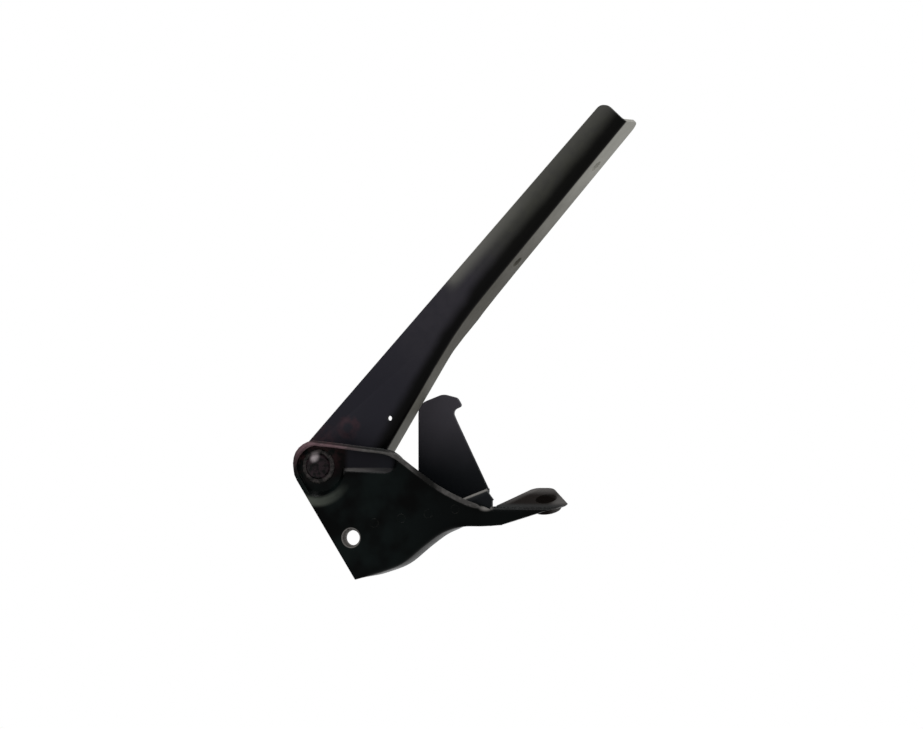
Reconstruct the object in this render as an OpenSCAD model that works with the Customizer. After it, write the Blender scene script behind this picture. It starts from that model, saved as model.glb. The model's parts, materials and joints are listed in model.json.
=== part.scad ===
// Hood hinge of a car: a pressed base bracket, a hook bracket welded behind it and a swinging hood arm.
// X runs right and Z up in the plane of the plate, Y runs away from the front of the plate.
// The origin is the centre of the body bolt hole, on the rear face of the base plate.

/* [Sheet] */
// Thickness of the pressed sheet
sheet = 2.6; // [2:0.1:3.2]
// Inside radius of every bend
bend_r = 1.6; // [1:0.1:2.5]
// Rounding of the deburred sheet edges
edge_r = 0.4; // [0.2:0.05:0.6]

/* [Base bracket] */
// Pivot centre, sideways from the body bolt hole
pivot_x = -22; // [-24:0.5:-20]
// Pivot centre, up from the body bolt hole
pivot_z = 43; // [41:0.5:46]
// Radius of the plate's corner around the pivot
corner_r = 15.6; // [15:0.1:17]
// Height of the lip along the top edge, in front of the plate
lip_h = 2.6; // [1.5:0.1:4]
// Depth of the stiffening flange along the lower edge, behind the plate
skirt_d = 15; // [8:0.5:20]
// Diameter of the body bolt hole
body_hole_d = 11.5; // [10:0.1:13]
// Depth that the pivot seat is pressed back
seat_d = 3; // [2:0.1:3.5]
// Radius of the flat floor of the pivot seat
seat_r = 15.4; // [14:0.1:17]
// Half the width of the channel that runs right from the pivot seat
channel_r = 5; // [4:0.1:6]

/* [Foot] */
// Height of the foot's bend above the body bolt hole
foot_z = 19.6; // [18.5:0.1:21]
// Tilt of the foot above level
foot_tilt = 24; // [15:1:30]
// Length of the foot from the front face of the plate
foot_w = 29; // [25:0.5:32]
// Left end of the foot at its bend
foot_x0 = 91.8; // [91.5:0.1:94]
// Tip of the foot
foot_x1 = 135; // [132:0.5:140]
// Diameter of the bolt hole in the foot
foot_hole_d = 13; // [9:0.5:14]
// Place of the foot bolt hole along the foot
foot_hole_x = 120; // [116:0.5:122]
// Place of the foot bolt hole from the front face, along the tilt
foot_hole_w = 13.5; // [12:0.5:16]
// Length of the collar drawn down around the foot bolt hole
collar_l = 4; // [2:0.5:5]
// Wall of the collar
collar_t = 1.8; // [1.2:0.1:2.4]

/* [Hook bracket] */
// Slope of the shelf
shelf_tilt = 21; // [18:1:24]
// Height of the shelf's top face above the body bolt hole at X = 0, along the slope
shelf_z = -2.3; // [-4:0.1:-1]
// Front face of the hook blade, behind the plate
hook_y = 25.6; // [25.2:0.1:30]
// Left edge of the hook blade
hook_x0 = 32.7; // [30:0.1:36]
// Top of the hook
hook_top_z = 85.8; // [80:0.2:90]
// Diameter of the bolt hole in the bracket's leg
leg_hole_d = 9; // [8.4:0.1:10]

/* [Hood arm] */
// Angle of the arm's straight edge above level, as shown
arm_angle = 47.3; // [40:0.1:55]
// Length of the arm from the pivot
arm_len = 283; // [250:1:320]
// Distance of the arm's straight edge from the pivot
arm_top = 16.2; // [15.5:0.1:18]
// Width of the arm's web at the tip
tip_w = 18.6; // [16:0.1:24]
// Angle at which the arm widens along its straight run
taper_a = 1.4; // [0:0.1:2.5]
// Angle at which the arm widens towards the pivot
flare_a = 11.2; // [9:0.1:12]
// Distance from the pivot where the two runs meet
blend_u = 121; // [110:1:130]
// Length of the soft blend between the two runs
blend_len = 16; // [8:1:30]
// Depth of the arm's flange over the outer part
flange_d = 26; // [22:0.5:30]
// Depth of the arm's flange where it passes in front of the hook
flange_low_d = 18.6; // [15:0.1:19.5]
// Distance from the pivot where the flange starts
flange_u0 = 22; // [20:0.5:28]
// Distance from the pivot where the narrow flange ends
flange_low_u = 103; // [100:1:110]
// Diameter of the hood bolt holes in the flange
hood_hole_d = 7; // [6.4:0.1:9]
// Place of the lower hood bolt hole along the arm
hood_hole_u0 = 172; // [160:1:190]
// Distance between the two hood bolt holes
hood_hole_gap = 76; // [60:1:85]
// Diameter of the dome pressed into the web
dome_d = 11.5; // [8:0.5:13]
// Height of the dome
dome_h = 1.2; // [0.6:0.1:1.4]
// Diameter of the small gauge hole in the web
gauge_hole_d = 3; // [2:0.1:4]

/* [Pivot] */
// Diameter of the rivet's shank
shank_d = 10; // [8:0.1:11]
// Diameter of the rivet's head
head_d = 20.6; // [18:0.1:22]
// Height of the rivet's domed head
head_h = 4.4; // [3.5:0.1:6]
// Diameter of the dome on the head
head_dome_d = 15.6; // [13:0.1:17]
// Diameter of the upset end behind the arm
tail_d = 17; // [15:0.1:19]
// Height of the upset end
tail_h = 3.2; // [2:0.1:5]
// Outer diameter of the bush in the arm
bush_d = 13.4; // [12.8:0.1:15]
// Outer diameter of the washers
washer_d = 24; // [20:0.5:26]
// Thickness of the spacer washer between base and arm
spacer_t = 2; // [1.6:0.1:3]
// Thickness of the washer behind the arm
rear_washer_t = 1.8; // [1.2:0.1:2.5]
// Radial clearance of the shank in the bush
run_fit = 0.05; // [0.02:0.01:0.09]
// Clearance of the arm's web to each washer
side_play = 0.1; // [0.05:0.01:0.2]

/* [Hidden] */
$fn = 64;
cut = 1;
outer_r = sheet + bend_r;
arc_steps = 5;

// The stack at the pivot, front to back
floor_y = seat_d - sheet;
arm_y = seat_d + spacer_t + side_play;
rear_washer_y = arm_y + sheet + side_play;
tail_y = rear_washer_y + rear_washer_t;

// Small functions
function lerp(a, b, w) = a + (b - a) * w;
function step_up(from, to, x) = let (s = min(1, max(0, (x - from) / (to - from)))) s * s * (3 - 2 * s);
function unit(v) = v / norm(v);
function left_of(v) = [-v[1], v[0]];
function last(list) = list[len(list) - 1];

// An outline whose corners [x, y, r] are turned into arcs of radius r
function corner_arc(a, p, b, r, steps) =
    let (to_a = unit([a[0] - p[0], a[1] - p[1]]), to_b = unit([b[0] - p[0], b[1] - p[1]]),
         half = acos(max(-1, min(1, to_a * to_b))) / 2,
         mid = unit(to_a + to_b), centre = [p[0], p[1]] + mid * r / sin(half),
         turn = 90 - half, side = cross(to_a, to_b) > 0 ? 1 : -1)
    [for (i = [0:steps]) let (w = side * turn * (1 - 2 * i / steps))
        centre - r * [mid[0] * cos(w) - mid[1] * sin(w), mid[0] * sin(w) + mid[1] * cos(w)]];
function rounded(corners) = let (n = len(corners))
    [for (i = [0:n - 1]) let (p = corners[i])
        each (p[2] == 0 ? [[p[0], p[1]]] :
              corner_arc(corners[(i + n - 1) % n], p, corners[(i + 1) % n], p[2], 6))];

// A smooth curve through a few points
function spline_point(a, b, c, d, t) =
    0.5 * (2 * b + (c - a) * t + (2 * a - 5 * b + 4 * c - d) * t * t + (3 * b - a - 3 * c + d) * t * t * t);
function spline(points, steps) = let (n = len(points))
    [for (k = [0:n - 2]) for (i = [0:steps - 1])
        spline_point(points[max(0, k - 1)], points[k], points[k + 1], points[min(n - 1, k + 2)], i / steps),
     points[n - 1]];
function along(curve, share) = let (f = share * (len(curve) - 1), i = min(len(curve) - 2, floor(f)))
    lerp(curve[i], curve[i + 1], f - i);

// Edge of a sheet as points [inward, through]: plain, or turned over by 90 degrees to a height
function plain_edge(reach) = concat(
    [for (i = [0:arc_steps]) [lerp(reach, edge_r, i / arc_steps), 0]],
    [[edge_r, edge_r] * 0.3, [0, sheet * 0.35], [0, sheet * 0.65], [edge_r * 0.3, sheet - edge_r * 0.3]],
    [for (i = [0:arc_steps]) [lerp(edge_r, reach, i / arc_steps), sheet]]);
function turned_edge(height) = concat(
    [for (i = [0:arc_steps]) let (a = 90 * i / arc_steps) outer_r * [1 - sin(a), 1 - cos(a)]],
    [[0, sheet + height - edge_r], [edge_r, sheet + height],
     [sheet - edge_r, sheet + height], [sheet, sheet + height - edge_r]],
    [for (i = [0:arc_steps]) let (a = 90 * i / arc_steps)
        [outer_r - bend_r * cos(a), outer_r - bend_r * sin(a)]]);
function formed_edge(height, w, reach) = let (p = plain_edge(reach), t = turned_edge(height))
    [for (i = [0:len(p) - 1]) lerp(p[i], t[i], w)];

// A solid through a row of sheet sections with equal point counts; tip is the point of a section
// after which it turns back along the other face of the sheet
module loft(sections, tip) {
    n = len(sections[0]);
    m = len(sections);
    sides = [for (k = [0:m - 2]) for (i = [0:n - 1]) let (a = k * n + i, b = k * n + (i + 1) % n)
        each [[a, b + n, b], [a, a + n, b + n]]];
    end = [for (k = [0:n / 2 - 2])
        let (a = (tip - k + n) % n, b = (tip + 1 + k) % n, c = (b + 1) % n, d = (a - 1 + n) % n)
        each [[d, a, b], [d, b, c]]];
    far_end = [for (f = end) [f[2] + (m - 1) * n, f[1] + (m - 1) * n, f[0] + (m - 1) * n]];
    polyhedron(points = [for (s = sections) each s], faces = concat(sides, end, far_end));
}

// Stands an outline drawn in X and Z up, from y0 to y1
module upright(outline, y0, y1) {
    translate([0, y1, 0])
        rotate([90, 0, 0])
            linear_extrude(y1 - y0)
                polygon(outline);
}
module along_y(x, z, y0, y1, r0, r1) {
    translate([x, y0, z])
        rotate([-90, 0, 0])
            cylinder(h = y1 - y0, r1 = r0, r2 = r1);
}

// Base bracket: the outline of its plate is two curves, joined by ribs from left to right
left_edge_a = 212;
eye_arc = [for (i = [0:9]) let (a = lerp(left_edge_a, 96, i / 9))
    [pivot_x, pivot_z] + corner_r * [cos(a), sin(a)]];
top_curve = spline([eye_arc[9], [-8, 57], [8, 55], [22, 53.4], [31, 49.6], [44, 40.4], [57, 31.6],
                    [72, 24.2], [84, 19.6], [96, foot_z - outer_r - 1]], 4);
top_points = concat(eye_arc, [for (i = [1:len(top_curve) - 1]) top_curve[i]]);
low_curve = spline([[2.5, -25.2], [18, -20.8], [32, -15.4], [46, -4.6], [58, 3.4], [71, 7], [84, 7.4],
                    [96, 8.2]], 6);
ribs = len(top_points) - 1;
function low_share(i) = i < 10 ? 0.012 * i : lerp(0.108, 1, (i - 9) / (ribs - 9));
low_points = [for (i = [0:ribs]) along(low_curve, low_share(i))];
function inward(points, i, side) =
    unit(side * left_of(points[min(ribs, i + 1)] - points[max(0, i - 1)]));
function lip_share(i) = min(step_up(0, 6, i), 1 - step_up(74, 88, top_points[i][0]));
function skirt_share(i) = min(step_up(5, 15, low_points[i][0]), 1 - step_up(60, 76, low_points[i][0]));
function base_section(i) =
    let (t = top_points[i], b = low_points[i], rib = unit(b - t),
         wt = lip_share(i), wb = skirt_share(i), reach = min(outer_r, norm(b - t) * 0.4),
         t_in = unit(lerp(rib, inward(top_points, i, -1), wt)),
         b_in = unit(lerp(-rib, inward(low_points, i, 1), wb)))
    concat([for (e = formed_edge(lip_h, wt, reach)) [t[0] + t_in[0] * e[0], -e[1], t[1] + t_in[1] * e[0]]],
           [for (e = formed_edge(skirt_d, wb, reach))
               [b[0] + b_in[0] * e[0], e[1] - sheet, b[1] + b_in[1] * e[0]]]);

// The pressed seat of the pivot with its channel; grow widens it for the rear side
channel_x = 22;
channel_z = 46.6;
module seat_form(y0, y1, floor_r, channel_floor_r) {
    rise = y1 - y0;
    along_y(pivot_x, pivot_z, y0, y1, floor_r + rise, floor_r);
    hull() {
        along_y(pivot_x + 8, pivot_z + 5, y0, y1, channel_floor_r + rise, channel_floor_r, $fn = 32);
        along_y(channel_x, channel_z, y0, y1, channel_floor_r + rise, channel_floor_r, $fn = 32);
    }
}
// The plate's outline near the seat, drawn in by a margin from its edge
function eye_outline(margin) =
    let (e = [for (i = [0:29]) top_points[i]], n = len(e))
    concat([for (i = [0:n - 1]) let (d = unit(e[min(n - 1, i + 1)] - e[max(0, i - 1)]))
               e[i] - margin * left_of(d)],
           [[60, -10], low_points[0] + margin * [0.848, 0.53]]);
wall_gain = sheet * (sqrt(2) - 1);
// The seat's rear side starts this far inside the plate's own faces and edges
skin = 0.25;

// Depth of the foot's upper face below a plane that leans through the bend's outer corner
foot_face = -outer_r * ((1 - sin(foot_tilt)) * sin(foot_tilt) + (1 - cos(foot_tilt)) * cos(foot_tilt));
module at_foot_hole() {
    translate([foot_hole_x, -sheet, foot_z])
        rotate([foot_tilt, 0, 0])
            translate([0, foot_hole_w, 0])
                children();
}
module foot() {
    // the profile runs up the plate, round the bend and out along the tilt
    bend = 90 - foot_tilt;
    arc_out = [for (i = [0:arc_steps]) let (a = bend * i / arc_steps)
        [-sheet + outer_r * (1 - cos(a)), foot_z - outer_r + outer_r * sin(a)]];
    arc_in = [for (i = [0:arc_steps]) let (a = bend * (1 - i / arc_steps))
        [-sheet + outer_r - bend_r * cos(a), foot_z - outer_r + bend_r * sin(a)]];
    run = foot_w * [cos(foot_tilt), sin(foot_tilt)];
    low_z = foot_z - outer_r - 14;
    profile = concat([[-sheet, low_z]], arc_out, [last(arc_out) + run, arc_in[0] + run], arc_in,
                     [[0, low_z]]);
    plan = rounded([[foot_x0 - 3, -sheet - cut, 0], [foot_x1 + 3, -sheet - cut, 0],
                    [foot_x1 + 1, 4, 5], [119.5, 24.6, 7], [107.5, 24.6, 7], [95.2, 6.3, 16],
                    [foot_x0, 1.6, 1], [foot_x0, 0.4, 0], [foot_x0 - 3, 0, 0]]);
    high_z = foot_z + foot_w + cut;
    front = rounded([[foot_x0 - 4, high_z, 0], [foot_x0 - 4, 7.5, 0], [96, 8.4, 24], [110.5, 12.8, 40],
                     [123.2, 16.7, 40], [foot_x1 - 4, 18.6, 12], [foot_x1 + 1, 21, 0],
                     [foot_x1 + 1, high_z, 0]]);
    at_foot_hole() translate([0, 0, foot_face - sheet - collar_l])
        cylinder(h = collar_l + sheet / 2, d = foot_hole_d + 2 * collar_t);
    intersection() {
        translate([foot_x0 - 3, 0, 0])
            rotate([90, 0, 90])
                linear_extrude(foot_x1 + 6 - foot_x0)
                    polygon(profile);
        translate([0, 0, low_z - cut])
            linear_extrude(2 * foot_w)
                polygon(plan);
        upright(front, -2 * sheet, foot_w + sheet);
    }
}

module base_bracket() color([0.06, 0.06, 0.065]) {
    difference() {
        union() {
            loft([for (i = [0:ribs]) base_section(i)], arc_steps + 2);
            foot();
            intersection() {
                seat_form(-sheet + skin, seat_d, seat_r + wall_gain, channel_r + wall_gain);
                upright(eye_outline(skin), -sheet, seat_d + cut);
            }
        }
        intersection() {
            seat_form(-sheet - edge_r, floor_y, seat_r, channel_r);
            upright(eye_outline(sheet), -sheet - edge_r - cut, floor_y + cut);
        }
        along_y(pivot_x, pivot_z, -cut, seat_d + cut, shank_d / 2, shank_d / 2);
        along_y(0, 0, -sheet - cut, cut, body_hole_d / 2, body_hole_d / 2);
        at_foot_hole() translate([0, 0, -collar_l - 3 * sheet])
            cylinder(h = collar_l + 4 * sheet, d = foot_hole_d);
    }
}

// Hook bracket: a flat leg around the body bolt hole, bent to a shelf and up to the hook blade
function on_shelf(x) = shelf_z / cos(shelf_tilt) + x * tan(shelf_tilt);
blade_y0 = hook_y - bend_r;
blade_y1 = hook_y + sheet;
blade_high = 110;
// Right ends of the leg, of the shelf at its bend and of the blade
leg_x1 = 89;
shelf_x1 = 84;
blade_x1 = 77.2;
// The leg's flat plate ends below the bend by one step, the bent strip starts below it by another
leg_top = outer_r + 1;
strip_low = outer_r + 4;
// Lower right corner of the strip's outline, which sets the slant of its right end
strip_x1 = 117;
strip_z0 = -12;
function bend_arc(centre, r, from, to) =
    [for (i = [0:arc_steps]) let (a = lerp(from, to, i / arc_steps)) centre + r * [cos(a), sin(a)]];
// The slope's own axes: X along the shelf, Z square to it
function to_slope(points) = [for (p = points) let (z = p[1] - shelf_z / cos(shelf_tilt))
    [p[0] * cos(shelf_tilt) + z * sin(shelf_tilt), z * cos(shelf_tilt) - p[0] * sin(shelf_tilt)]];
module in_slope() {
    translate([0, 0, shelf_z / cos(shelf_tilt)])
        rotate([0, -shelf_tilt, 0])
            children();
}

module hook_bracket() color([0.09, 0.09, 0.1]) {
    leg_bend = [outer_r, -outer_r];
    blade_bend = [blade_y0, bend_r];
    // through the sheet on the first axis, up on the second
    profile = concat([[0, -strip_low]], bend_arc(leg_bend, outer_r, 180, 90),
                     bend_arc(blade_bend, bend_r, 270, 360), [[hook_y, blade_high], [blade_y1, blade_high]],
                     bend_arc(blade_bend, outer_r, 360, 270), bend_arc(leg_bend, bend_r, 90, 180),
                     [[sheet, -strip_low]]);
    leg = rounded([[-11, 12, 8], [-11, -6, 6], [3.5, -17, 5], [22, -11.5, 12], [46, 3.5, 12],
                   [60, 10, 12], [72, 13.6, 14], [leg_x1, 13.6, 3], [leg_x1, 23.4, 0],
                   [shelf_x1, on_shelf(shelf_x1) - leg_top, 0],
                   [hook_x0 + 4, on_shelf(hook_x0 + 4) - leg_top, 0],
                   [hook_x0 - 2.2, 2.5, 1], [hook_x0 - 2.8, 9, 2], [27, 19, 6]]);
    // the strip's outline from the front, with the hook's mouth, and from above
    front = rounded([[hook_x0, strip_z0, 0], [strip_x1, strip_z0, 0],
                     [shelf_x1 - 0.4, 31.2, 0], [blade_x1, 29.6, 0],
                     [57.3, 69.6, 8], [54.2, 76.4, 3.2], [60.6, 79.2, 1.5],
                     [57.5, hook_top_z - 1.6, 3], [48.5, hook_top_z + 0.6, 7],
                     [hook_x0, hook_top_z - 5.4, 8]]);
    plan = [[hook_x0 - cut, -cut], [strip_x1 + cut, -cut], [strip_x1 + cut, outer_r + 1],
            [shelf_x1, outer_r + 1], [blade_x1 + 0.5, blade_y0 - 1], [blade_x1 + 0.5, blade_y1 + cut],
            [hook_x0 - cut, blade_y1 + cut]];
    difference() {
        union() {
            in_slope() upright(to_slope(leg), 0, sheet);
            intersection() {
                in_slope() translate([-hook_x0, 0, 0])
                    rotate([90, 0, 90])
                        linear_extrude(strip_x1 + 2 * hook_x0)
                            polygon(profile);
                upright(front, -cut, blade_y1 + cut);
                translate([0, 0, -blade_high])
                    linear_extrude(2 * blade_high)
                        polygon(plan);
            }
        }
        along_y(0, 0, -cut, sheet + cut, leg_hole_d / 2, leg_hole_d / 2);
    }
}

// Hood arm, in its own axes: X along the arm, Y behind the plate, Z towards the straight edge
function arm_low(u) =
    let (d = blend_u - u, gain = tan(flare_a) - tan(taper_a))
    arm_top - tip_w - tan(taper_a) * (arm_len - u) - gain * (d + sqrt(d * d + blend_len * blend_len)) / 2;
arm_stations = concat([-24, flange_u0 - 4], [for (u = [34:10:164]) u], [196, 240, arm_len + 6]);
function arm_section(u) =
    let (low = arm_low(u), far = arm_y + flange_d + 4,
         slope = cos(atan((arm_low(u + 1) - arm_low(u - 1)) / 2)), t = sheet / slope)
    concat([for (i = [0:arc_steps]) let (a = 90 * i / arc_steps)
               [u, arm_y + outer_r * (1 - cos(a)), low + outer_r * (1 - sin(a))]],
           [[u, far, low], [u, far, low + t]],
           [for (i = [0:arc_steps]) let (a = 90 * i / arc_steps)
               [u, arm_y + outer_r - bend_r * sin(a), low + t - sheet + outer_r - bend_r * cos(a)]],
           [[u, arm_y + sheet, arm_top - edge_r], [u, arm_y + sheet - edge_r, arm_top],
            [u, arm_y + edge_r, arm_top], [u, arm_y, arm_top - edge_r]]);
module in_arm_axes() {
    translate([pivot_x, 0, pivot_z])
        rotate([0, -arm_angle, 0])
            children();
}
flange_far_y = arm_y + flange_d;
flange_low_y = arm_y + flange_low_d;
hood_hole_y = arm_y + flange_d * 0.54;
dome_u = 29;
dome_z = 3;
gauge_u = 51;
gauge_z = -12.6;
// A height below the whole arm
arm_under = -40;

module hood_hole(u) {
    low = arm_low(u);
    translate([u, hood_hole_y, low])
        rotate([0, -taper_a, 0])
            translate([0, 0, -cut * 2])
                cylinder(h = sheet + 4 * cut, d = hood_hole_d);
}

module hood_arm() color([0.16, 0.16, 0.17]) {
    web = rounded([[-arm_top, arm_top, arm_top - 0.05], [-arm_top, -arm_top, arm_top - 0.05],
                   [flange_u0 - 8, -arm_top, 12], [flange_u0, arm_under, 0], [arm_len, arm_under, 0],
                   [arm_len - 0.5, arm_top, 6]]);
    side = rounded([[-2 * arm_top, arm_y - cut, 0], [arm_len, arm_y - cut, 0], [arm_len, flange_far_y, 7],
                    [flange_low_u + 22, flange_far_y, 18], [flange_low_u, flange_low_y, 18],
                    [flange_u0 + 4, flange_low_y, 6], [flange_u0 - 1, arm_y + sheet + 0.6, 2],
                    [-2 * arm_top, arm_y + sheet + 0.6, 0]]);
    dome_ball_r = (dome_d * dome_d / 4 + dome_h * dome_h) / (2 * dome_h);
    in_arm_axes() difference() {
        union() {
            intersection() {
                loft([for (u = arm_stations) arm_section(u)], arc_steps + 1);
                upright(web, arm_y - cut, flange_far_y + cut);
                translate([0, 0, arm_under - cut])
                    linear_extrude(2 * arm_top - arm_under)
                        polygon(side);
            }
            intersection() {
                translate([dome_u, arm_y + dome_ball_r - dome_h, dome_z])
                    sphere(dome_ball_r);
                along_y(dome_u, dome_z, arm_y - dome_h - cut, arm_y + sheet / 2, dome_d, dome_d);
            }
        }
        translate([dome_u, arm_y + sheet + dome_ball_r - dome_h, dome_z])
            sphere(dome_ball_r);
        along_y(0, 0, arm_y - cut, arm_y + sheet + cut, bush_d / 2, bush_d / 2);
        along_y(gauge_u, gauge_z, arm_y - cut, arm_y + sheet + cut, gauge_hole_d / 2, gauge_hole_d / 2);
        hood_hole(hood_hole_u0);
        hood_hole(hood_hole_u0 + hood_hole_gap);
    }
}

// Pivot: turned and upset pieces around one axis
module at_pivot(y) {
    translate([pivot_x, y, pivot_z])
        rotate([-90, 0, 0])
            children();
}
module pivot_rivet() color([0.2, 0.2, 0.21]) {
    rim_h = 1.1;
    rim_r = head_d / 2;
    dome_r = head_dome_d / 2;
    dimple_r = 2.6;
    dimple_h = 0.5;
    dome_rise = head_h - rim_h;
    dome_points = [for (i = [0:8]) let (a = lerp(90, 20, i / 8)) [dome_r * cos(a), dome_rise * sin(a)]];
    at_pivot(floor_y) {
        rotate_extrude()
            polygon(concat([[0, tail_y + tail_h - floor_y], [0, -head_h + dimple_h], [dimple_r, -head_h]],
                           [for (i = [3:8]) [dome_points[i][0], -rim_h - dome_points[i][1]]],
                           [[dome_r, -rim_h], [rim_r - 0.6, -rim_h], [rim_r, -rim_h + 0.6], [rim_r, 0],
                            [shank_d / 2, 0], [shank_d / 2, tail_y - floor_y],
                            [tail_d / 2, tail_y - floor_y], [tail_d / 2, tail_y - floor_y + tail_h * 0.4],
                            [tail_d / 2 - 2, tail_y - floor_y + tail_h]]));
    }
}
module ring(y, length, outer_d, inner_d) {
    at_pivot(y) difference() {
        cylinder(h = length, d = outer_d);
        translate([0, 0, -cut])
            cylinder(h = length + 2 * cut, d = inner_d);
    }
}
module pivot_bush() color([0.55, 0.45, 0.25]) ring(arm_y, sheet, bush_d, shank_d + 2 * run_fit);
module spacer_washer() color([0.3, 0.3, 0.31]) ring(seat_d, spacer_t, washer_d, shank_d);
module rear_washer() color([0.3, 0.3, 0.31]) ring(rear_washer_y, rear_washer_t, washer_d, shank_d);

base_bracket();
hook_bracket();
hood_arm();
pivot_rivet();
pivot_bush();
spacer_washer();
rear_washer();
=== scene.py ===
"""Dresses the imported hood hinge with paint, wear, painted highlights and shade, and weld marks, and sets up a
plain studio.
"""

import json
import math

import bmesh
import bpy
from bpy.props import FloatProperty, FloatVectorProperty, IntProperty, PointerProperty
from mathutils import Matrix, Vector


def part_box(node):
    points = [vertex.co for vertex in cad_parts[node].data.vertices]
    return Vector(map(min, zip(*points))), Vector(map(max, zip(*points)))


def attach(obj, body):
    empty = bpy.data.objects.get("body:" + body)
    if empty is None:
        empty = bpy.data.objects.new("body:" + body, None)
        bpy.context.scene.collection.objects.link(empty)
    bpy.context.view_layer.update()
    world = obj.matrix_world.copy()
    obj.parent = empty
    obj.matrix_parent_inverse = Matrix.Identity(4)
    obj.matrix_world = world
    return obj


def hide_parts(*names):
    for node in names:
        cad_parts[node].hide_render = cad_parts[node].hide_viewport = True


bl_info = {
    "name": "Hood Hinge Finish",
    "version": (1, 0, 0),
    "blender": (4, 5, 0),
    "location": "View3D > Sidebar > Hood Hinge",
    "description": "Paint, wear and weld marks for a pressed steel hood hinge, and a studio",
    "category": "Object",
}

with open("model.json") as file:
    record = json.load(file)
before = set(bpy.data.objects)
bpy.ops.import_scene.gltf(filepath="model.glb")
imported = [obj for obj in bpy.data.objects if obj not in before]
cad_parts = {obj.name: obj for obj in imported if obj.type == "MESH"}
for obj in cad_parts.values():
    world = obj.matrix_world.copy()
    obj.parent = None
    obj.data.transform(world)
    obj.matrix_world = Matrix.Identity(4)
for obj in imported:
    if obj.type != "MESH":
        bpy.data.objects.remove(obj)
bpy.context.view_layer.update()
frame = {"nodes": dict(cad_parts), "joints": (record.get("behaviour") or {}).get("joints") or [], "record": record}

MOUNTS = {mount["name"]: Vector(mount["pos_m"]) for mount in frame["record"]["mounts"]}
BODY_HOLE = MOUNTS["body_bolt_hole"]
FOOT_HOLE = MOUNTS["foot_bolt_hole"]
PIVOT = Vector(frame["joints"][0]["pos_m"])
# Y of the plate's and the lip's front faces, and how steeply the lip falls to the right
PLATE_FRONT = -0.0026
LIP_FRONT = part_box("base_bracket")[0].y
LIP_SLOPE = 0.12
# The arm's shape: its lean, and how its bend runs below its straight edge, from root to tip
ARM_ANGLE = math.radians(47.3)
ARM_LENGTH = 0.283
ARM_TOP = 0.0162
TIP_WIDTH = 0.0186
TAPER = math.tan(math.radians(1.4))
FLARE = math.tan(math.radians(11.2))
BLEND_AT = 0.121
BLEND_LENGTH = 0.016
DOME = PIVOT + Vector((0.01746, 0, 0.02335))
# The hook bracket's shelf: its slope, and its height at X = 0
SHELF_SLOPE = math.tan(math.radians(21))
SHELF_Z = -0.00246
# Clean-up of the CAD meshes: points this near are one, faces this flat are one, edges sharper
# than SHARP are rounded, and those blunter than SMOOTH are shaded smooth
MERGE = 2e-6
FLAT = math.radians(0.4)
SHARP = math.radians(42)
SMOOTH = math.radians(36)
# The first and the last spot weld's height, how far they stay from the bolt hole and from the
# hook bracket's right end, and the number of sides of a ring and of its bead
FIRST_WELD_Z = 0.009
LAST_WELD_Z = 0.0176
WELD_FROM_HOLE = 0.015
WELD_FROM_END = 0.023
RING_SIDES = 32
BEAD_SIDES = 8
# The studio: half the floor's width, how far from the hinge it fades to white and how white it
# is there and beside the hinge, and the panel lamps with place, width, depth and radiance
FLOOR_HALF = 3.0
FLOOR_FADE = {"From Min": 0.2, "From Max": 0.8, "To Min": 0.6, "To Max": 1.0}
FLOOR_GREY = 0.8
LAMP_AIM = (0.05, 0, 0.1)
LAMPS = {
    "overhead_strip": ((-0.28, 0.0, 0.95), 0.7, 0.13, 17),
    "left_panel": ((-1.1, -1.0, 0.9), 0.6, 0.6, 3),
}


def colour(name, description, default):
    """A colour property in linear light."""
    return FloatVectorProperty(
        name=name, description=description, default=default, subtype="COLOR", min=0.0, max=1.0
    )


def length(name, description, default):
    """A length property in metres."""
    return FloatProperty(
        name=name, description=description, default=default, subtype="DISTANCE", unit="LENGTH"
    )


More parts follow.
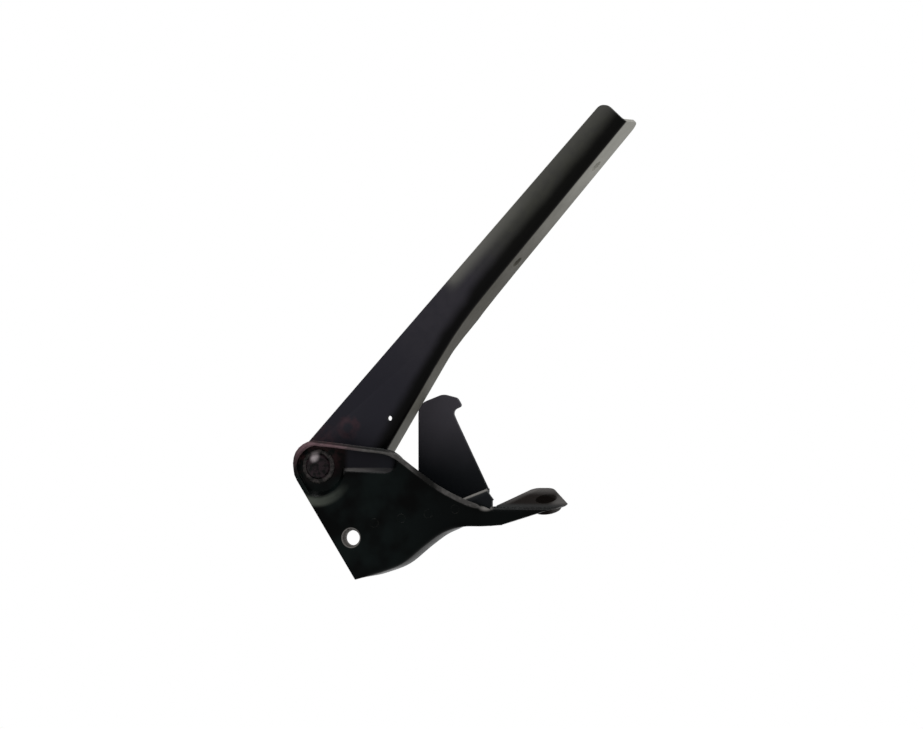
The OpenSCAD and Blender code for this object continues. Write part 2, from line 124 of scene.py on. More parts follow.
class HingePaint(bpy.types.PropertyGroup):
    """Colours of the hinge's finishes, and of the highlights and shade painted onto them."""

    plate: colour("Plate", "Gloss black of the base bracket", (0.0006, 0.0007, 0.0007))
    plate_tint: colour("Plate tint", "Faint green in the gloss black", (0.0035, 0.0058, 0.0056))
    # lip: grey of a painted highlight along the lip, with some rubbing; it also paints the channel wall's
    # highlight and greys the foot's edge. lip_rust: that highlight tinted by rust at the pivot.
    lip: colour("Lip", "Grey of the rubbed lip along the plate's top edge", (0.1, 0.095, 0.092))
    lip_rust: colour("Lip, rusty", "Pinkish grey of the lip at the pivot", (0.15, 0.095, 0.105))
    # Grey-green of a painted sheen on the rolled edge below the pivot seat
    roll: colour("Roll", "Grey-green of the rolled edge below the pivot seat", (0.07, 0.078, 0.066))
    foot: colour("Foot", "Brown-black of the foot's upper side", (0.008, 0.006, 0.005))
    hook: colour("Hook", "Black of the hook bracket", (0.0055, 0.0065, 0.008))
    # Purplish grey of a painted sheen on the hook's upper end, where it catches more light
    hook_top_sheen: colour("Hook haze", "Purplish haze on the hook's upper end", (0.056, 0.052, 0.062))
    arm: colour("Arm", "Satin black of the hood arm near the pivot", (0.017, 0.0165, 0.022))
    arm_middle: colour("Arm, middle", "Purplish grey along the arm's middle", (0.03, 0.028, 0.034))
    arm_outer: colour("Arm, outer end", "Olive grey towards the arm's tip", (0.04, 0.04, 0.034))
    # Paler olive of a painted highlight along the arm's lit straight edge
    arm_edge: colour("Arm, edge", "Paler olive along the outer straight edge", (0.13, 0.128, 0.116))
    # Deep black of the painted shade along the arm's bend
    arm_bend: colour("Arm, bend", "Deep black along the arm's bend", (0.0015, 0.0015, 0.0012))
    # The flange's two greys are a painted sheen, its face lit pale, with dust in it; palest at its ends
    flange: colour("Flange", "Dusty grey on the arm's flange", (0.085, 0.08, 0.066))
    flange_tip: colour("Flange tip", "Pale dust at the flange's ends", (0.34, 0.335, 0.3))
    rust: colour("Rust", "Pink-brown rust bloom around the pivot", (0.105, 0.038, 0.042))
    # Pale grey of a painted highlight on the rivet's dome
    rivet_highlight: colour("Worn rivet", "Pale rubbed spot on the rivet's dome", (0.36, 0.32, 0.33))
    # This grey also paints the glint at the lip's end and the highlight on the hook's bend
    bare: colour("Bare edge", "Dull steel where the paint is rubbed through", (0.2, 0.19, 0.18))
    bronze: colour("Bronze", "Plain bearing bronze of the bush", (0.42, 0.27, 0.1))


class HingeWear(bpy.types.PropertyGroup):
    """Amounts of wear and the rounding of the edges."""

    edge_round: length("Edge rounding", "Width of the rounding on sheet edges", 0.00028)
    press_round: length("Press rounding", "Width of the rounding on pressed edges", 0.0014)
    worn_edge: length("Worn edge", "Reach of the rubbed band along edges", 0.0009)
    rub: FloatProperty(
        name="Rub", description="How far edges are rubbed through", default=0.5, min=0.0, max=1.0
    )
    peel: FloatProperty(
        name="Orange peel", description="Depth of the paint's fine waviness", default=0.12, min=0.0
    )


class HingeMarks(bpy.types.PropertyGroup):
    """Rings left by the spot welds that join the two brackets."""

    ring: length("Ring radius", "Radius of a weld ring", 0.0026)
    bead: length("Bead radius", "Half the width of a ring's raised bead", 0.0004)
    sink: length("Sink", "How far a bead's middle lies below the plate's face", 0.00024)
    count: IntProperty(name="Welds", description="Number of spot welds", default=4, min=1, max=8)


class HingeStudio(bpy.types.PropertyGroup):
    """Camera, floor and even light."""

    azimuth: FloatProperty(
        name="Azimuth", description="Camera's turn around the hinge", default=math.radians(20),
        subtype="ANGLE", unit="ROTATION",
    )
    distance: length("Distance", "Camera's distance", 5.0)
    view_width: length("View width", "Width of the picture at the hinge", 0.5538)
    look_at: FloatVectorProperty(
        name="Look at", description="Point in the middle of the picture", subtype="XYZ",
        default=(0.0679, 0.0053, 0.1043), unit="LENGTH",
    )
    floor: length("Floor", "Height of the floor", -0.15)
    sky: FloatProperty(name="Sky", description="Strength of the even light", default=0.7, min=0.0)


class Wire:
    """An output of a node; its operators add Math nodes to the same tree."""

    def __init__(self, finish, socket):
        self.finish = finish
        self.socket = socket

    def math(self, operation, first, second=0.0):
        node = self.finish.add("ShaderNodeMath", {"operation": operation}, {0: first, 1: second})
        return Wire(self.finish, node.outputs[0])

    def __add__(self, other):
        return self.math("ADD", self, other)

    def __sub__(self, other):
        return self.math("SUBTRACT", self, other)

    def __rsub__(self, other):
        return self.math("SUBTRACT", other, self)

    def __mul__(self, other):
        return self.math("MULTIPLY", self, other)

    def __pow__(self, other):
        return self.math("POWER", self, other)

    __radd__ = __add__
    __rmul__ = __mul__


class Finish:
    """A procedural material that reads object coordinates, in metres."""

    def __init__(self, name):
        self.material = bpy.data.materials.new(name)
        self.material.use_nodes = True
        self.tree = self.material.node_tree
        self.tree.nodes.clear()
        self.place = self.out("Object", "ShaderNodeTexCoord")
        spot = self.add("ShaderNodeSeparateXYZ", inputs={0: self.place})
        self.x, self.y, self.z = (Wire(self, socket) for socket in spot.outputs)

    def add(self, kind, settings=None, inputs=None):
        """A node: its settings are set first, then the values or links of its sockets."""
        node = self.tree.nodes.new(kind)
        for name, value in (settings or {}).items():
            setattr(node, name, value)
        for key, value in (inputs or {}).items():
            if isinstance(value, Wire):
                self.tree.links.new(value.socket, node.inputs[key])
            else:
                node.inputs[key].default_value = value
        return node

    def out(self, output, kind, settings=None, inputs=None):
        return Wire(self, self.add(kind, settings, inputs).outputs[output])

    def noise(self, size, detail=3.0, roughness=0.5):
        """Noise whose lumps are about size metres across."""
        return self.out(
            "Fac", "ShaderNodeTexNoise",
            inputs={"Vector": self.place, "Scale": 1 / size, "Detail": detail,
                    "Roughness": roughness},
        )

    def fade(self, value, start, end):
        """0 at start and 1 at end, with a soft step between them; the start may be the higher."""
        return self.out(
            "Result", "ShaderNodeMapRange", {"interpolation_type": "SMOOTHSTEP"},
            {"Value": value, "From Min": start, "From Max": end},
        )

    def mix(self, share, first, second):
        """A colour between two colours."""
        first, second = (c if isinstance(c, Wire) else (*c, 1.0) for c in (first, second))
        return self.out(2, "ShaderNodeMix", {"data_type": "RGBA"}, {0: share, 6: first, 7: second})

    def away(self, x, z, stretch=1.0):
        """Distance from a point, seen from the front; stretch makes its rings wider than high."""
        return (((self.x - x) * (1 / stretch)) ** 2 + (self.z - z) ** 2) ** 0.5

    def band(self, value, start, end, soft):
        """1 between two values and 0 outside them, with soft steps."""
        return self.fade(value, start - soft, start) * (1 - self.fade(value, end, end + soft))

    def spot(self, x, z, full, none, stretch=1.0):
        """1 within one distance of a point, seen from the front, and 0 beyond another."""
        return 1 - self.fade(self.away(x, z, stretch), full, none)

    def edges(self, reach):
        """1 on sharp edges and 0 a short way from them."""
        rounded = self.out("Normal", "ShaderNodeBevel", {"samples": 6}, {"Radius": reach})
        plain = self.out("Normal", "ShaderNodeNewGeometry")
        along = self.out(
            "Value", "ShaderNodeVectorMath", {"operation": "DOT_PRODUCT"}, {0: rounded, 1: plain}
        )
        return self.fade(1 - along, 0.01, 0.22)

    def scuffs(self, least=0.42):
        """Patches of rubbing; there are fewer where least is higher."""
        return self.fade(self.noise(0.004, 5.0, 0.65), least, 0.6)

    def surface(self, tone, roughness, specular, bump, metallic=0.0):
        """Closes the tree with one Principled shader."""
        shader = self.out("BSDF", "ShaderNodeBsdfPrincipled", inputs={
            "Base Color": tone,
            "Roughness": roughness,
            "Specular IOR Level": specular,
            "Metallic": metallic,
            "Normal": bump,
        })
        self.add("ShaderNodeOutputMaterial", inputs={"Surface": shader})
        return self.material

    def waves(self, depth, size=0.0011):
        """The fine waviness of sprayed paint, with a few larger dents."""
        height = self.noise(size, 2.0) + self.noise(size * 14, 1.0) * 2.5
        return self.out(
            "Normal", "ShaderNodeBump",
            inputs={"Strength": 1.0, "Distance": depth * 0.0001, "Height": height},
        )


def bloom(f, reach):
    """Patchy rust around the upper left of the pivot."""
    near = f.spot(PIVOT.x - 0.003, PIVOT.z + 0.012, reach * 0.25, reach)
    return near * f.fade(f.noise(0.0045, 4.0, 0.6), 0.36, 0.62)


def green_cast(f, paint):
    """Gloss black with patches of a faint green, fewer towards the right."""
    patches = f.fade(f.noise(0.03), 0.4, 0.62)
    right = f.fade(f.x, 0.01, 0.07)
    return f.mix(patches * (1 - right * 0.75), paint.plate, paint.plate_tint)


def foot_tone(f, tone, paint, foot):
    """The foot is brown-black, greyer along its rear edge and at its tip, black in its hole."""
    # The rear edge lies aslant: this is how far a point lies towards it
    rearward = f.y * 0.558 - f.x * 0.83
    rear = f.fade(rearward, -0.0815, -0.0763)
    tip = f.fade(f.x, 0.1225, 0.129)
    # Greyer towards the back, along the rear edge and at the tip
    foot_paling = f.fade(f.y, 0.014, 0.024) + tip + rear * 0.8
    hollow = f.spot(FOOT_HOLE.x - 0.0015, FOOT_HOLE.z, 0.0024, 0.0036, stretch=1.8)
    tone = f.mix(foot, tone, paint.foot)
    return f.mix(foot * foot_paling * (1 - hollow) * 0.8, tone, paint.lip)


def channel_tone(f, tone, paint):
    """The channel beside the seat is greyer, and its lower wall gets a painted highlight where light from above
    falls on it.
    """
    sunk = f.fade(f.y, PLATE_FRONT + 0.0002, PLATE_FRONT + 0.0009)
    channel = sunk * f.band(f.x, -0.002, 0.024, 0.004)
    floor = f.band(f.z, 0.037, 0.055, 0.002)
    # Painted highlight on the channel's up-facing lower wall
    wall_highlight = f.band(f.z, 0.0385, 0.0415, 0.001) * (1 - f.fade(f.x, -0.002, 0.024) * 0.7)
    tone = f.mix(channel * floor * 0.5, tone, paint.arm)
    return f.mix(channel * wall_highlight * 0.8, tone, paint.lip)


def roll_tone(f, tone, paint, scuffs):
    """The seat's lower edge rolls over into the plate, where it gets a grey-green painted sheen."""
    ring = f.band(f.away(PIVOT.x, PIVOT.z), 0.0205, 0.0224, 0.003)
    below = f.fade(f.z, PIVOT.z - 0.009, PIVOT.z - 0.015)
    right = f.fade(f.x, -0.024, 0.0)
    front = f.fade(f.y, PLATE_FRONT + 0.0016, PLATE_FRONT + 0.0006)
    # Painted sheen on the roll, patchy, on the front only
    roll = ring * below * (1 - right * 0.9) * front
    return f.mix(roll * (0.75 + scuffs * 0.15), tone, paint.roll)


def lip_tone(f, tone, paint, scuffs):
    """The raised lip gets a painted highlight, with some rubbing: pink with rust by the pivot, dimmer at its left
    end and in its middle.
    """
    raised = f.fade(f.y, PLATE_FRONT - 0.0001, PLATE_FRONT - 0.0006)
    # Painted highlight: on the left the lip's top is left dark and its lower side gets the bright line
    right = f.fade(f.x, 0.022, 0.032)
    lower = f.fade(f.z + f.x * LIP_SLOPE, 0.0550, 0.0541)
    bright = 0.2 + (lower * (1 - right) + right * 0.72) * 0.8
    left_end = 0.25 + f.fade(f.x, -0.037, -0.028) * 0.75
    middle = f.band(f.x, 0.045, 0.053, 0.008)
    pink = f.spot(PIVOT.x, PIVOT.z + 0.012, 0.01, 0.034)
    # This mask is mostly the painted highlight, with patchy rubbing in it
    rubbed = bright * left_end * (1 - middle * 0.85) * (0.7 + scuffs * 0.3)
    return f.mix(raised * rubbed, tone, f.mix(pink, paint.lip, paint.lip_rust))


def plate_paint(paint, wear):
    """Gloss black with painted highlights along its lip, channel wall and rolled edge, rubbed edges, and a rust
    bloom at the pivot.
    """
    f = Finish("gloss_black_plate")
    scuffs = f.scuffs(0.45)
    edge = f.edges(wear.worn_edge) * scuffs
    rust = bloom(f, 0.026)
    foot = f.fade(f.x, 0.09, 0.1) * f.fade(f.y, 0.001, 0.006)
    tone = foot_tone(f, green_cast(f, paint), paint, foot)
    tone = f.mix(rust * 0.2, tone, paint.rust)
    tone = f.mix(edge * wear.rub * 0.35, tone, paint.bare)
    tone = channel_tone(f, tone, paint)
    tone = roll_tone(f, tone, paint, scuffs)
    tone = lip_tone(f, tone, paint, scuffs)
    # A painted glint in bare-steel grey where the lip runs out above the foot's bend, and bare-steel grey at the
    # bolt hole's wall and rim
    lip_end_glint = f.spot(0.0862, 0.0183, 0.0004, 0.0024, stretch=2.2)
    hole = f.spot(BODY_HOLE.x, BODY_HOLE.z, 0.0058, 0.0064)
    tone = f.mix(lip_end_glint * 0.9, tone, paint.bare)
    tone = f.mix(hole * 0.8, tone, paint.bare)
    lip_face = f.fade(f.y, LIP_FRONT + 0.0009, LIP_FRONT + 0.0001)
    rough = 0.24 + f.noise(0.012) * 0.1 + rust * 0.3 + edge * 0.2 + lip_face * 0.2 + foot * 0.5
    return f.surface(tone, rough, 0.03, f.waves(wear.peel))


def hook_paint(paint, wear):
    """Black with a purple-grey painted sheen towards the hook's top and a painted highlight along its lower bend.
    """
    f = Finish("satin_black_hook")
    # Painted sheen: lighter towards the top
    top_sheen = f.fade(f.z + f.noise(0.02) * 0.012, 0.04, 0.094)
    edge = f.edges(wear.worn_edge) * f.scuffs()
    # A painted highlight in bare-steel grey on the front of the bend between leg and shelf, at its right end
    above_shelf = f.z - f.x * SHELF_SLOPE - SHELF_Z
    bend = f.band(above_shelf, -0.0012, 0.001, 0.0012) * (1 - f.fade(f.y, 0.0018, 0.004))
    hole = f.spot(BODY_HOLE.x, BODY_HOLE.z, 0.0056, 0.0062)
    tone = f.mix(top_sheen, paint.hook, paint.hook_top_sheen)
    tone = f.mix(edge * wear.rub * 0.3, tone, paint.bare)
    tone = f.mix(bend * f.fade(f.x, 0.064, 0.071) * 0.9, tone, paint.bare)
    tone = f.mix(hole * 0.7, tone, paint.bare)
    rough = 0.34 + f.noise(0.01) * 0.14 + edge * 0.15
    return f.surface(tone, rough, 0.05, f.waves(wear.peel))


def arm_bend(run):
    """Height of the arm's bend, at a distance along the arm from the pivot."""
    left = BLEND_AT - run
    soft = (left * left + BLEND_LENGTH ** 2) ** 0.5
    outer = ARM_TOP - TIP_WIDTH - (ARM_LENGTH - run) * TAPER
    return outer - (left + soft) * ((FLARE - TAPER) / 2)


def arm_paint(paint, wear):
    """Satin black that greys along the arm, with a pale painted sheen and dust on the flange, a painted highlight
    along its straight edge, and painted shade, deep black, along its bend.
    """
    f = Finish("satin_black_arm")
    # Distances along the arm from the pivot and across it, square to its straight edge
    c, d = math.cos(ARM_ANGLE), math.sin(ARM_ANGLE)
    run = (f.x - PIVOT.x) * c + (f.z - PIVOT.z) * d
    rise = (f.z - PIVOT.z) * c - (f.x - PIVOT.x) * d
    grain = f.noise(0.006, 4.0, 0.6)
    along = run + (f.noise(0.03) - 0.5) * 0.04
    tone = f.mix(f.fade(along, 0.05, 0.13), paint.arm, paint.arm_middle)
    tone = f.mix(f.fade(along, 0.15, 0.19), tone, paint.arm_outer)
    tone = f.mix(f.fade(grain, 0.35, 0.7) * 0.3, tone, paint.arm)
    # Painted light across the arm: a highlight along the straight edge of the outer part, and shade, near black,
    # beside the bend
    outer = f.fade(along, 0.13, 0.148)
    to_edge = f.fade(rise, ARM_TOP - 0.010, ARM_TOP - 0.001)
    top = to_edge * outer * (1 - f.fade(along, 0.16, 0.23) * 0.62)
    tone = f.mix(top * 0.85, tone, paint.arm_edge)
    off_bend = rise - arm_bend(run) + (f.noise(0.012) - 0.5) * 0.004 - outer * 0.0015
    tone = f.mix((1 - f.fade(off_bend, 0.003, 0.0105)) * 0.96, tone, paint.arm_bend)
    # A painted shade ring, rust-tinted, around the dome's slope
    from_dome = f.away(DOME.x, DOME.z) + (f.noise(0.004) - 0.5) * 0.003
    ring = f.band(from_dome, 0.0042, 0.006, 0.0025) * f.fade(grain, 0.3, 0.6)
    tone = f.mix(ring * 0.18, tone, paint.rust)
    # The flange gets a painted sheen with dust in it, palest at its ends
    flange = f.fade(f.y, PIVOT.y + 0.0025, PIVOT.y + 0.0045)
    dust_and_sheen = f.mix(f.fade(along, 0.15, 0.27), paint.flange, paint.flange_tip)
    dust_and_sheen = f.mix((1 - f.fade(run, 0.05, 0.11)) * 0.5, dust_and_sheen, paint.flange_tip)
    tone = f.mix(flange * (0.85 + f.noise(0.01) * 0.25), tone, dust_and_sheen)
    edge = f.edges(wear.worn_edge) * f.scuffs()
    tone = f.mix(bloom(f, 0.022) * 0.16, tone, paint.rust)
    tone = f.mix(edge * wear.rub * 0.4, tone, paint.bare)
    rough = 0.36 + grain * 0.16 + edge * 0.1
    return f.surface(tone, rough, 0.04, f.waves(wear.peel, 0.0014))


def rivet_paint(paint, wear):
    """Glossy black dome with a painted highlight at its upper left, in a greyer rim."""
    f = Finish("worn_black_rivet")
    front = f.fade(f.y, 0.002, 0.0)
    # Painted highlight at the dome's upper left, on the front only
    crown_highlight = f.spot(PIVOT.x - 0.0015, PIVOT.z + 0.0055, 0.0006, 0.0042) * front
    rim = f.fade(f.away(PIVOT.x, PIVOT.z), 0.0078, 0.0083)
    patches = f.fade(f.noise(0.003, 4.0, 0.6), 0.4, 0.62)
    tone = f.mix(patches * 0.4, paint.plate, paint.arm)
    tone = f.mix(rim * (0.05 + patches * 0.22), tone, paint.arm_edge)
    tone = f.mix(crown_highlight * (0.75 + patches * 0.25), tone, paint.rivet_highlight)
    tone = f.mix((1 - crown_highlight) * patches * 0.1, tone, paint.rust)
    edge = f.edges(wear.worn_edge)
    tone = f.mix(edge * wear.rub * 0.3, tone, paint.bare)
    rough = 0.2 + patches * 0.12 + rim * 0.15
    return f.surface(tone, rough, 0.08, f.waves(wear.peel, 0.0009))


def washer_paint(paint, wear):
    """Satin black of the washers, rubbed where they bear."""
    f = Finish("satin_black_washers")
    edge = f.edges(wear.worn_edge) * f.fade(f.noise(0.003, 4.0, 0.6), 0.35, 0.6)
    tone = f.mix(edge * wear.rub, f.mix(f.noise(0.01), paint.hook, paint.arm), paint.bare)
    return f.surface(tone, 0.4 + f.noise(0.004) * 0.15, 0.2, f.waves(wear.peel, 0.0009))


def bush_bronze(paint, wear):
    """Sintered bronze, dull and finely pitted."""
    f = Finish("sintered_bronze")
    pits = f.fade(f.noise(0.0006, 2.0), 0.3, 0.6)
    tone = f.mix(pits, [c * 0.45 for c in paint.bronze], paint.bronze)
    return f.surface(tone, 0.5 - pits * 0.15, 0.5, f.waves(wear.peel * 2, 0.0006), metallic=1.0)


def put_in_scene(name, data):
    """A new object of a mesh, a lamp or a camera."""
    thing = bpy.data.objects.new(name, data)
    bpy.context.scene.collection.objects.link(thing)
    return thing


def dress(node, name, body, material, edge_round, soft=None, soft_round=0.0):
    """A copy of a CAD node with merged faces, rounded edges and smooth bends, in its place.

    Edges for whose middle soft says yes get the wide rounding."""
    mesh = frame["nodes"][node].data.copy()
    mesh.name = name
    shape = bmesh.new()
    shape.from_mesh(mesh)
    bmesh.ops.remove_doubles(shape, verts=shape.verts, dist=MERGE)
    bmesh.ops.dissolve_degenerate(shape, dist=MERGE, edges=shape.edges)
    bmesh.ops.dissolve_limit(shape, angle_limit=FLAT, verts=shape.verts, edges=shape.edges)
    widest = max(edge_round, soft_round)
    weight = shape.edges.layers.float.new("bevel_weight_edge")
    for edge in shape.edges:
        if edge.is_manifold and edge.calc_face_angle() > SHARP:
            middle = (edge.verts[0].co + edge.verts[1].co) / 2
            edge[weight] = (soft_round if soft and soft(middle) else edge_round) / widest
    shape.to_mesh(mesh)
    shape.free()
    mesh.materials.clear()
    mesh.materials.append(material)
    mesh.shade_smooth()
    mesh.set_sharp_from_angle(angle=SMOOTH)
    piece = put_in_scene(name, mesh)
    rounding = piece.modifiers.new("rounded_edges", "BEVEL")
    rounding.width = widest
    rounding.segments = 3 if soft else 2
    rounding.limit_method = "WEIGHT"
    rounding.harden_normals = True
    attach(piece, body)
    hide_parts(node)


def seat_edge(spot):
    """Says whether a point lies on the front edge of the seat or channel, clear of the lip."""
    on_front = abs(spot.y - PLATE_FRONT) < 1e-4 and 0.012 < spot.z < PIVOT.z + 0.001
    in_seat = (spot - PIVOT).xz.length < 0.0200
    in_channel = spot.z > 0.036
    return on_front and (in_seat or in_channel)


class HINGE_OT_base(bpy.types.Operator):
    """Dress the pressed base bracket."""

    bl_idname = "hinge.base"
    bl_label = "Base bracket"

    def execute(self, context):
        paint, wear = context.scene.hinge_paint, context.scene.hinge_wear
        dress("base_bracket", "base_bracket_painted", "base",
              plate_paint(paint, wear), wear.edge_round, seat_edge, wear.press_round)
        return {"FINISHED"}


class HINGE_OT_hook(bpy.types.Operator):
    """Dress the hook bracket."""

    bl_idname = "hinge.hook"
    bl_label = "Hook bracket"

    def execute(self, context):
        paint, wear = context.scene.hinge_paint, context.scene.hinge_wear
        dress("hook_bracket", "hook_bracket_painted", "base",
              hook_paint(paint, wear), wear.edge_round)
        return {"FINISHED"}


class HINGE_OT_arm(bpy.types.Operator):
    """Dress the hood arm."""

    bl_idname = "hinge.arm"
    bl_label = "Hood arm"

    def execute(self, context):
        paint, wear = context.scene.hinge_paint, context.scene.hinge_wear
        dress("hood_arm", "hood_arm_painted", "arm",
              arm_paint(paint, wear), wear.edge_round)
        return {"FINISHED"}


class HINGE_OT_pivot(bpy.types.Operator):
    """Dress the rivet, its washers and its bush."""

    bl_idname = "hinge.pivot"
    bl_label = "Pivot"

    def execute(self, context):
        paint, wear = context.scene.hinge_paint, context.scene.hinge_wear
        washers = washer_paint(paint, wear)
        pieces = [
            ("pivot_rivet", "base", "rivet_paint", rivet_paint(paint, wear)),
            ("spacer_washer", "base", "washer_paint", washers),
            ("rear_washer", "base", "washer_paint", washers),
            ("pivot_bush", "arm", "bush_bronze", bush_bronze(paint, wear)),
        ]
        for node, body, slot, material in pieces:
            dress(node, node + "_finished", body, material, wear.edge_round * 0.6)
        return {"FINISHED"}


def ring_tree(material):
    """Geometry Nodes: a raised ring at each point of a mesh."""
    tree = bpy.data.node_groups.new("weld_rings", "GeometryNodeTree")
    sockets = tree.interface
    sockets.new_socket("Geometry", in_out="INPUT", socket_type="NodeSocketGeometry")
    sizes = {
        name: sockets.new_socket(name, in_out="INPUT", socket_type="NodeSocketFloat").identifier
        for name in ("Ring radius", "Bead radius")
    }
    sockets.new_socket("Geometry", in_out="OUTPUT", socket_type="NodeSocketGeometry")

    def add(kind, **inputs):
        node = tree.nodes.new(kind)
        for key, value in inputs.items():
            socket = node.inputs[key.replace("_", " ")]
            if isinstance(value, bpy.types.NodeSocket):
                tree.links.new(value, socket)
            else:
                socket.default_value = value
        return node

    given = tree.nodes.new("NodeGroupInput").outputs
    circle = "GeometryNodeCurvePrimitiveCircle"
    ring = add(circle, Resolution=RING_SIDES, Radius=given["Ring radius"])
    bead = add(circle, Resolution=BEAD_SIDES, Radius=given["Bead radius"])
    tube = add("GeometryNodeCurveToMesh", Curve=ring.outputs["Curve"],
               Profile_Curve=bead.outputs["Curve"])
    rings = add("GeometryNodeInstanceOnPoints", Points=given["Geometry"],
                Instance=tube.outputs["Mesh"], Rotation=(math.pi / 2, 0, 0))
    solid = add("GeometryNodeRealizeInstances", Geometry=rings.outputs["Instances"])
    finish = add("GeometryNodeSetMaterial", Geometry=solid.outputs["Geometry"], Material=material)
    end = tree.nodes.new("NodeGroupOutput")
    tree.links.new(finish.outputs["Geometry"], end.inputs["Geometry"])
    return tree, sizes


class HINGE_OT_weld_marks(bpy.types.Operator):
    """Lay the rings of the spot welds along the hook bracket's leg."""

    bl_idname = "hinge.weld_marks"
    bl_label = "Weld marks"

    def execute(self, context):
        marks = context.scene.hinge_marks
        plate = bpy.data.objects["base_bracket_painted"]
        # The welds follow the leg's slope, from beside the bolt hole to where the lip comes near
        y = PLATE_FRONT + marks.sink
        first = Vector((BODY_HOLE.x + WELD_FROM_HOLE, y, FIRST_WELD_Z))
        last = Vector((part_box("hook_bracket")[1].x - WELD_FROM_END, y, LAST_WELD_Z))
        spots = bpy.data.meshes.new("weld_spots")
        steps = max(1, marks.count - 1)
        spots.from_pydata([first.lerp(last, i / steps) for i in range(marks.count)], [], [])
        source = put_in_scene("weld_spots", spots)
        tree, sizes = ring_tree(plate.data.materials[0])
        rings = source.modifiers.new("weld_rings", "NODES")
        rings.node_group = tree
        rings[sizes["Ring radius"]] = marks.ring
        rings[sizes["Bead radius"]] = marks.bead
        view = context.evaluated_depsgraph_get()
        mesh = bpy.data.meshes.new_from_object(source.evaluated_get(view))
        bpy.data.objects.remove(source)
        shape = bmesh.new()
        shape.from_mesh(mesh)
        bmesh.ops.remove_doubles(shape, verts=shape.verts, dist=1e-6)
        bmesh.ops.recalc_face_normals(shape, faces=shape.faces)
        shape.to_mesh(mesh)
        shape.free()
        mesh.shade_smooth()
        piece = put_in_scene("spot_weld_marks", mesh)
        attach(piece, "base")
        return {"FINISHED"}


def lamp(name, place, width, depth, radiance):
    """A soft panel lamp that faces the hinge, set by how bright its face is."""
    data = bpy.data.lights.new(name, "AREA")
    data.shape = "RECTANGLE"
    data.size, data.size_y = width, depth
    data.energy = radiance * math.pi * width * depth
    panel = put_in_scene(name, data)
    panel.location = place
    panel.rotation_euler = (Vector(LAMP_AIM) - panel.location).to_track_quat("-Z", "Y").to_euler()


def white_backdrop(tree, lit, colour_socket):
    """Mixes plain white in where the camera, a gloss or glass looks, and returns the mixer."""
    path = tree.nodes.new("ShaderNodeLightPath").outputs
    seen = path["Is Camera Ray"]
    for ray in ("Is Glossy Ray", "Is Transmission Ray"):
        total = tree.nodes.new("ShaderNodeMath")
        total.operation = "ADD"
        total.use_clamp = True
        tree.links.new(seen, total.inputs[0])
        tree.links.new(path[ray], total.inputs[1])
        seen = total.outputs[0]
    mixer = tree.nodes.new("ShaderNodeMixShader")
    tree.links.new(seen, mixer.inputs[0])
    tree.links.new(lit, mixer.inputs[1])
    tree.links.new(colour_socket, mixer.inputs[2])
    return mixer


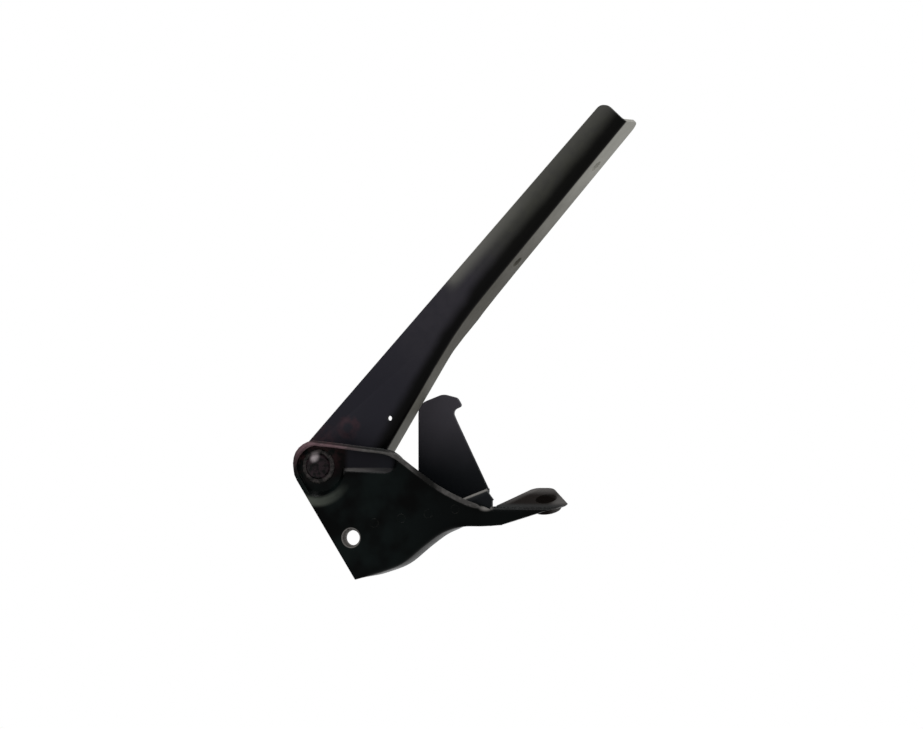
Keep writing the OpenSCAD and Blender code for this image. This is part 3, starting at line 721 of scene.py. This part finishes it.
class HINGE_OT_stage(bpy.types.Operator):
    """Set up the camera, the white floor and the lamps."""

    bl_idname = "hinge.stage"
    bl_label = "Studio"

    def execute(self, context):
        scene, studio = context.scene, context.scene.hinge_studio
        scene.view_settings.view_transform = "Standard"
        aim = Vector(studio.look_at)
        turn = studio.azimuth
        data = bpy.data.cameras.new("camera")
        data.lens = data.sensor_width * studio.distance / studio.view_width
        camera = put_in_scene("camera", data)
        camera.location = aim + Vector((math.sin(turn), -math.cos(turn), 0)) * studio.distance
        camera.rotation_euler = (aim - camera.location).to_track_quat("-Z", "Y").to_euler()
        scene.camera = camera

        world = scene.world or bpy.data.worlds.new("studio")
        scene.world = world
        world.use_nodes = True
        tree = world.node_tree
        tree.nodes.clear()
        lit, white = (tree.nodes.new("ShaderNodeBackground") for _ in range(2))
        lit.inputs["Strength"].default_value = studio.sky
        for sky in (lit, white):
            sky.inputs["Color"].default_value = (1, 1, 1, 1)
        mixer = white_backdrop(tree, lit.outputs[0], white.outputs[0])
        tree.links.new(mixer.outputs[0], tree.nodes.new("ShaderNodeOutputWorld").inputs["Surface"])

        around = ((-1, -1), (1, -1), (1, 1), (-1, 1))
        corners = [(x * FLOOR_HALF, y * FLOOR_HALF, studio.floor) for x, y in around]
        mesh = bpy.data.meshes.new("floor")
        mesh.from_pydata(corners, [], [(0, 1, 2, 3)])
        floor = put_in_scene("floor", mesh)
        material = bpy.data.materials.new("white_floor")
        material.use_nodes = True
        tree = material.node_tree
        tree.nodes.clear()
        matt = tree.nodes.new("ShaderNodeBsdfDiffuse")
        matt.inputs["Color"].default_value = (FLOOR_GREY, FLOOR_GREY, FLOOR_GREY, 1)
        glow = tree.nodes.new("ShaderNodeEmission")
        mixer = white_backdrop(tree, matt.outputs[0], glow.outputs[0])
        # Part of the lit floor stays in view near the hinge, so that it keeps the hinge's shadow
        place = tree.nodes.new("ShaderNodeTexCoord")
        reach = tree.nodes.new("ShaderNodeVectorMath")
        reach.operation = "DISTANCE"
        reach.inputs[1].default_value = (*aim.xy, studio.floor)
        far = tree.nodes.new("ShaderNodeMapRange")
        far.interpolation_type = "SMOOTHSTEP"
        for name, value in FLOOR_FADE.items():
            far.inputs[name].default_value = value
        shadow = tree.nodes.new("ShaderNodeMixShader")
        for source, target in ((place.outputs["Object"], reach.inputs[0]),
                               (reach.outputs["Value"], far.inputs["Value"]),
                               (far.outputs["Result"], shadow.inputs[0]),
                               (matt.outputs[0], shadow.inputs[1]),
                               (mixer.outputs[0], shadow.inputs[2])):
            tree.links.new(source, target)
        tree.links.new(shadow.outputs[0], tree.nodes.new("ShaderNodeOutputMaterial").inputs[0])
        mesh.materials.append(material)

        for name, panel in LAMPS.items():
            lamp(name, *panel)
        return {"FINISHED"}


class HINGE_PT_panel(bpy.types.Panel):
    """The hinge's sizes and colours, and the steps that build its looks."""

    bl_label = "Hood Hinge"
    bl_space_type = "VIEW_3D"
    bl_region_type = "UI"
    bl_category = "Hood Hinge"

    def draw(self, context):
        for name in SETTINGS:
            box = self.layout.box()
            group = getattr(context.scene, name)
            for key in group.bl_rna.properties.keys():
                if key not in ("rna_type", "name"):
                    box.prop(group, key)
        for step in STEPS:
            self.layout.operator(step.bl_idname)


SETTINGS = {
    "hinge_paint": HingePaint,
    "hinge_wear": HingeWear,
    "hinge_marks": HingeMarks,
    "hinge_studio": HingeStudio,
}
STEPS = (
    HINGE_OT_base,
    HINGE_OT_hook,
    HINGE_OT_arm,
    HINGE_OT_pivot,
    HINGE_OT_weld_marks,
    HINGE_OT_stage,
)


def register():
    for kind in (*SETTINGS.values(), *STEPS, HINGE_PT_panel):
        bpy.utils.register_class(kind)
    for name, kind in SETTINGS.items():
        setattr(bpy.types.Scene, name, PointerProperty(type=kind))


def unregister():
    for name in SETTINGS:
        delattr(bpy.types.Scene, name)
    for kind in (HINGE_PT_panel, *reversed(STEPS), *reversed(tuple(SETTINGS.values()))):
        bpy.utils.unregister_class(kind)


def main():
    register()
    bpy.ops.hinge.base()
    bpy.ops.hinge.hook()
    bpy.ops.hinge.arm()
    bpy.ops.hinge.pivot()
    bpy.ops.hinge.weld_marks()
    bpy.ops.hinge.stage()
    bpy.context.view_layer.update()


if __name__ == "__main__":
    main()
